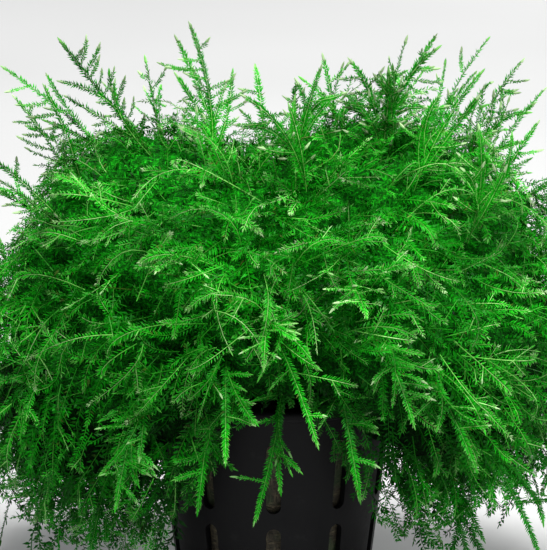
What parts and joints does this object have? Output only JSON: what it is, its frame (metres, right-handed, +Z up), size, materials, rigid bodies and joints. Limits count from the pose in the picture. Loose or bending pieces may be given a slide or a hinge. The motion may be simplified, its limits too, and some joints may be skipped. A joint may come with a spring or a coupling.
{
  "type": "potted java moss",
  "caption": "Round slotted plastic plant pot under a bushy green mound of feathery aquatic moss that bulges over its rim.",
  "frame": {"origin": "centre of the underside of the pot's foot", "axes": "+Z up along the pot's axis; -Y is the side that the picture looks at; +X to its right"},
  "size_m": [0.1587, 0.1327, 0.1301],
  "materials": {
    "pot_plastic": "black moulded plastic, slightly worn",
    "rock_wool": "damp fibrous mineral wool",
    "moss_tangle": "dense tangle of small leafy fronds, saturated green",
    "moss_shoot": "bright green leafy shoots with pale tips, slightly waxy"
  },
  "bodies": {
    "root": {"pot": "pot_plastic", "rock_wool_plug": "rock_wool", "moss_cushion": "moss_tangle", "upright_shoot_01": "moss_shoot", "upright_shoot_02": "moss_shoot", "upright_shoot_03": "moss_shoot", "upright_shoot_04": "moss_shoot", "upright_shoot_05": "moss_shoot", "upright_shoot_06": "moss_shoot", "upright_shoot_07": "moss_shoot", "upright_shoot_08": "moss_shoot", "upright_shoot_09": "moss_shoot", "upright_shoot_10": "moss_shoot", "upright_shoot_11": "moss_shoot", "upright_shoot_12": "moss_shoot", "upright_shoot_13": "moss_shoot", "upright_shoot_14": "moss_shoot", "upright_shoot_15": "moss_shoot", "upright_shoot_16": "moss_shoot", "upright_shoot_17": "moss_shoot", "upright_shoot_18": "moss_shoot", "upright_shoot_19": "moss_shoot", "upright_shoot_20": "moss_shoot", "spreading_shoot_01": "moss_shoot", "spreading_shoot_02": "moss_shoot", "spreading_shoot_03": "moss_shoot", "spreading_shoot_04": "moss_shoot", "spreading_shoot_05": "moss_shoot", "spreading_shoot_06": "moss_shoot", "spreading_shoot_07": "moss_shoot", "hanging_shoot_01": "moss_shoot", "hanging_shoot_02": "moss_shoot", "hanging_shoot_03": "moss_shoot", "hanging_shoot_04": "moss_shoot", "hanging_shoot_05": "moss_shoot", "hanging_shoot_06": "moss_shoot", "hanging_shoot_07": "moss_shoot", "hanging_shoot_08": "moss_shoot", "hanging_shoot_09": "moss_shoot", "hanging_shoot_10": "moss_shoot", "hanging_shoot_11": "moss_shoot", "hanging_shoot_12": "moss_shoot", "hanging_shoot_13": "moss_shoot", "hanging_shoot_14": "moss_shoot", "back_shoot_01": "moss_shoot", "back_shoot_02": "moss_shoot", "back_shoot_03": "moss_shoot", "back_shoot_04": "moss_shoot", "back_shoot_05": "moss_shoot", "back_shoot_06": "moss_shoot", "back_shoot_07": "moss_shoot", "back_shoot_08": "moss_shoot", "back_shoot_09": "moss_shoot", "back_shoot_10": "moss_shoot", "back_shoot_11": "moss_shoot", "back_shoot_12": "moss_shoot", "back_shoot_13": "moss_shoot"}
  },
  "joints": []
}
